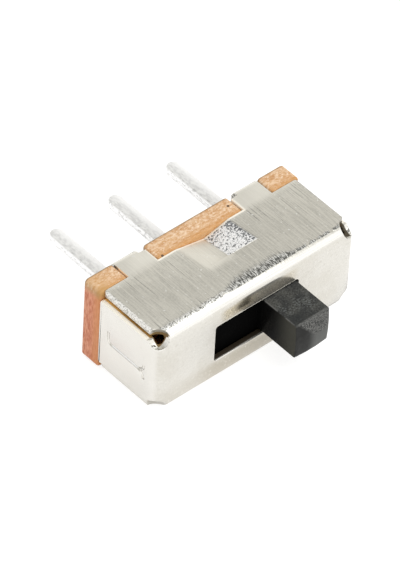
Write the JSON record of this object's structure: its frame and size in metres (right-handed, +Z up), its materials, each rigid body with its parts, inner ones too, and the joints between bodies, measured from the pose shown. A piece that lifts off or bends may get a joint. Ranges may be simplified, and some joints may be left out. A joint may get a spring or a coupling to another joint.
{
  "type": "slide switch",
  "caption": "Miniature slide switch with a folded metal frame, a square sliding lever in a slot, a laminate back board and a row of straight solder pins.",
  "frame": {"origin": "where the middle pin leaves the back face of the base board, on the middle plane of the pin row", "axes": "+X along the lever's travel and the pin row, +Y the way the pins point, +Z up with the switch lying on a long side"},
  "size_m": [0.0086, 0.0089, 0.0034],
  "materials": {
    "plated_sheet": "nickel-plated sheet, satin with fine scratches",
    "laminate": "orange-brown paper laminate with speckled cut edges",
    "tinned_brass": "tinned, silver",
    "black_moulding": "satin black",
    "spring_bronze": "bare sprung bronze"
  },
  "bodies": {
    "housing": {"frame": "plated_sheet", "base_board": "laminate", "terminal_left": "tinned_brass", "terminal_common": "tinned_brass", "terminal_right": "tinned_brass"},
    "lever": {"slider": "black_moulding", "moving_contact": "spring_bronze"}
  },
  "joints": [
    {"name": "lever_slide", "type": "slide", "parent": "housing", "child": "lever", "axis": [1, 0, 0], "range_m": [-0.002, 0]}
  ]
}
